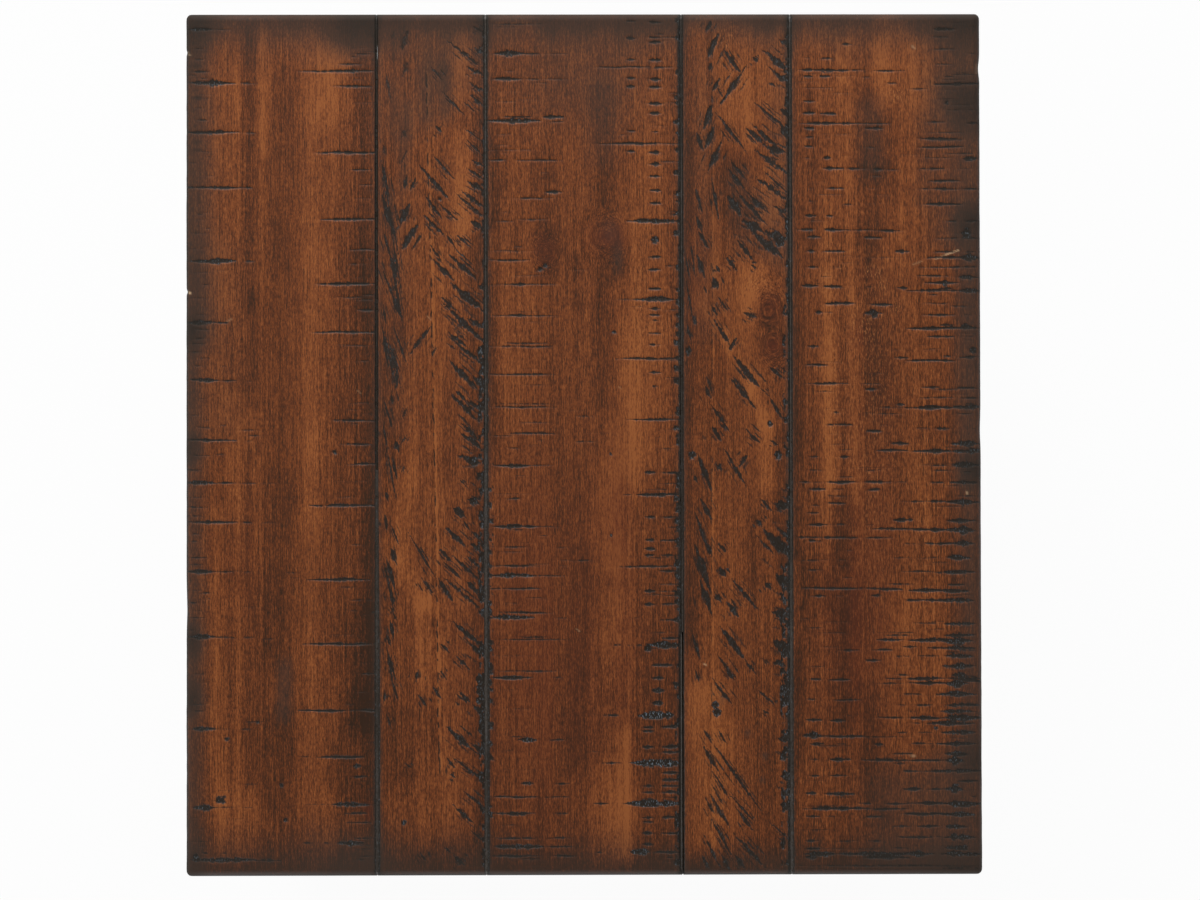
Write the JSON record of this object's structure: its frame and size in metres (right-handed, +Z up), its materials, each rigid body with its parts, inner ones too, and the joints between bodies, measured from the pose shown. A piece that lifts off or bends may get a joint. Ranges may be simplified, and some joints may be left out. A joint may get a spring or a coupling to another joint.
{
  "type": "end table",
  "caption": "Rustic end table: a thick top of alternating wide and narrow rough-sawn boards on square legs, with aprons and a lower plank shelf.",
  "frame": {"origin": "on the floor, at the centre of the table's footprint", "axes": "+X to the right and +Y to the back of the table as it stands in the picture, whose lower edge is the front; +Z up. The boards of the top run along Y."},
  "size_m": [0.6096, 0.6604, 0.6096],
  "materials": {
    "top_wood": "brown stain under satin lacquer, darker along every edge, on rough-sawn and hewn boards",
    "base_wood": "the same brown stain under satin lacquer, on planed wood",
    "plain_wood": "planed, unstained",
    "peg_wood": "end grain, stained dark",
    "steel": "zinc plated",
    "nylon": "moulded, dark brown"
  },
  "bodies": {
    "root": {"apron_back": "base_wood", "apron_front": "base_wood", "apron_left": "base_wood", "apron_pegs": "peg_wood", "apron_right": "base_wood", "batten_screws": "steel", "button_screws": "steel", "cleat_screws": "steel", "corner_block_back_left": "plain_wood", "corner_block_back_right": "plain_wood", "corner_block_front_left": "plain_wood", "corner_block_front_right": "plain_wood", "corner_block_screws": "steel", "foot_glide_back_left": "nylon", "foot_glide_back_right": "nylon", "foot_glide_front_left": "nylon", "foot_glide_front_right": "nylon", "glide_nails": "steel", "leg_back_left": "base_wood", "leg_back_right": "base_wood", "leg_front_left": "base_wood", "leg_front_right": "base_wood", "shelf_board_centre": "base_wood", "shelf_board_left": "base_wood", "shelf_board_left_narrow": "base_wood", "shelf_board_right": "base_wood", "shelf_board_right_narrow": "base_wood", "shelf_board_screws": "steel", "shelf_cleat_back": "plain_wood", "shelf_cleat_front": "plain_wood", "shelf_rail_back": "base_wood", "shelf_rail_front": "base_wood", "shelf_rail_left": "base_wood", "shelf_rail_pegs": "peg_wood", "shelf_rail_right": "base_wood", "top_batten_back": "plain_wood", "top_batten_front": "plain_wood", "top_buttons": "plain_wood", "top_plank_centre": "top_wood", "top_plank_left": "top_wood", "top_plank_left_narrow": "top_wood", "top_plank_right": "top_wood", "top_plank_right_narrow": "top_wood", "top_spline_1": "plain_wood", "top_spline_2": "plain_wood", "top_spline_3": "plain_wood", "top_spline_4": "plain_wood"}
  },
  "joints": []
}
